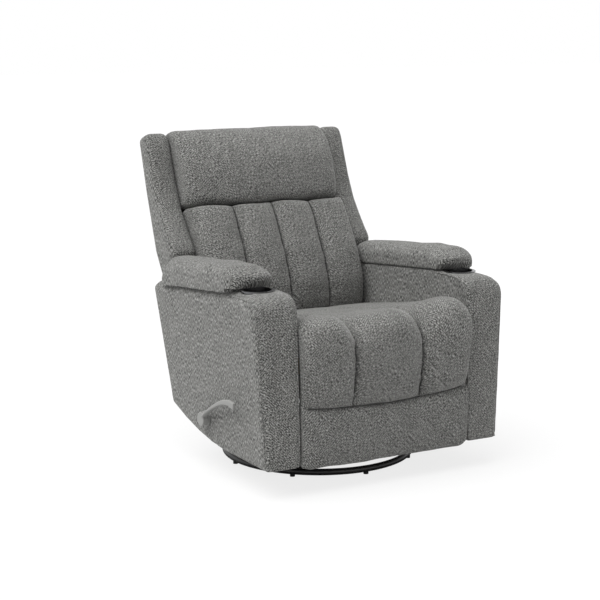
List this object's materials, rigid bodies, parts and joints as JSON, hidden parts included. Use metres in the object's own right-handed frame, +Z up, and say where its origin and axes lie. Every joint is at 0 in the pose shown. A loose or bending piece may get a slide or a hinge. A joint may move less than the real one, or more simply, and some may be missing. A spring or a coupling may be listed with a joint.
{
  "type": "swivel glider recliner",
  "caption": "Upholstered recliner on a round swivel base with a glider, padded arms with cup holders, a channelled seat, back and footrest, and a side lever.",
  "frame": {"origin": "on the floor, on the swivel axis", "axes": "+Z up, -Y the way the chair faces, +X to the right as seen from in front of it"},
  "size_m": [0.9054, 1.0092, 1.031],
  "materials": {
    "fabric": "mid grey woven chenille, matt",
    "backing": "mid grey woven cloth over board, matt",
    "black_steel": "black powder coat, satin",
    "zinc_steel": "zinc plated",
    "timber": "raw softwood and plywood",
    "rubber": "matt",
    "grey_plastic": "grey, satin",
    "cup_steel": "dark satin steel"
  },
  "bodies": {
    "base": {"foot_glide_1": "rubber", "foot_glide_2": "rubber", "foot_glide_3": "rubber", "foot_glide_4": "rubber", "foot_glide_5": "rubber", "foot_glide_6": "rubber", "foot_glide_7": "rubber", "foot_glide_8": "rubber", "base_ring": "black_steel", "base_cross": "black_steel", "bearing_lower": "zinc_steel", "bearing_balls": "zinc_steel", "swivel_pin": "zinc_steel"},
    "platform": {"bearing_upper": "zinc_steel", "platform_frame": "black_steel", "glide_stand_right": "black_steel", "glide_stand_left": "black_steel"},
    "glide_links_front": {"glide_link_front_right": "zinc_steel", "glide_link_front_left": "zinc_steel"},
    "glide_links_rear": {"glide_link_rear_right": "zinc_steel", "glide_link_rear_left": "zinc_steel"},
    "carriage": {"glide_rail_right": "black_steel", "glide_rail_left": "black_steel", "cross_tube_front": "black_steel", "cross_tube_rear": "black_steel", "side_plate_right": "zinc_steel", "side_plate_left": "zinc_steel", "arm_right": "fabric", "arm_left": "fabric", "arm_board_right": "timber", "arm_board_left": "timber", "cup_holder_right": "cup_steel", "cup_holder_left": "cup_steel", "arm_pad_right": "fabric", "arm_pad_left": "fabric", "rear_cover": "backing", "lever_escutcheon": "grey_plastic"},
    "drive": {"drive_tube": "black_steel", "lever": "grey_plastic"},
    "seat": {"seat_frame": "timber", "seat_springs": "zinc_steel", "seat_rail_right": "zinc_steel", "seat_rail_left": "zinc_steel", "seat_cushion": "fabric"},
    "swing_links": {"swing_link_right": "zinc_steel", "swing_link_left": "zinc_steel"},
    "carry_links": {"carry_link_right": "zinc_steel", "carry_link_left": "zinc_steel"},
    "footrest": {"footrest_board": "timber", "footrest_pad": "fabric", "footrest_bracket_right": "zinc_steel", "footrest_bracket_left": "zinc_steel"},
    "back": {"back_panel": "backing", "back_frame": "timber", "back_bracket_right": "zinc_steel", "back_bracket_left": "zinc_steel", "back_cushion": "fabric", "headrest": "fabric", "wing_right": "fabric", "wing_left": "fabric"}
  },
  "joints": [
    {"name": "swivel", "type": "hinge", "parent": "base", "child": "platform", "pos_m": [0, 0, 0.0346], "axis": [0, 0, 1], "continuous": true},
    {"name": "glide", "type": "hinge", "parent": "platform", "child": "glide_links_front", "pos_m": [0, -0.095, 0.163], "axis": [1, 0, 0], "range_deg": [-24, 24]},
    {"name": "glide_rear", "type": "hinge", "parent": "platform", "child": "glide_links_rear", "pos_m": [0, 0.095, 0.163], "axis": [1, 0, 0], "range_deg": [-24, 24]},
    {"name": "glide_carriage", "type": "hinge", "parent": "glide_links_front", "child": "carriage", "pos_m": [0, -0.095, 0.075], "axis": [1, 0, 0], "range_deg": [-24, 24]},
    {"name": "recline", "type": "hinge", "parent": "carriage", "child": "back", "pos_m": [0, 0.21, 0.36], "axis": [-1, 0, 0], "range_deg": [0, 38]},
    {"name": "seat_slide", "type": "slide", "parent": "carriage", "child": "seat", "axis": [0, -1, 0], "range_m": [0, 0.03]},
    {"name": "footrest", "type": "hinge", "parent": "seat", "child": "footrest", "pos_m": [0, -0.4675, 0.5325], "axis": [-1, 0, 0], "range_deg": [0, 90]},
    {"name": "swing", "type": "hinge", "parent": "seat", "child": "swing_links", "pos_m": [0, -0.3, 0.333], "axis": [-1, 0, 0], "range_deg": [0, 90]},
    {"name": "carry", "type": "hinge", "parent": "swing_links", "child": "carry_links", "pos_m": [0, -0.2045, 0.1455], "axis": [-1, 0, 0], "range_deg": [-90, 0]},
    {"name": "lever", "type": "hinge", "parent": "carriage", "child": "drive", "pos_m": [0, -0.035, 0.171], "axis": [-1, 0, 0], "range_deg": [0, 70]}
  ],
  "couplings": [
    {"joint": "glide_rear", "follows": "glide", "ratio": 1},
    {"joint": "glide_carriage", "follows": "glide", "ratio": -1},
    {"joint": "seat_slide", "follows": "recline", "m_per_rad": 0.045},
    {"joint": "swing", "follows": "footrest", "ratio": 1},
    {"joint": "carry", "follows": "footrest", "ratio": -1},
    {"joint": "lever", "follows": "footrest", "ratio": 0.7777}
  ]
}
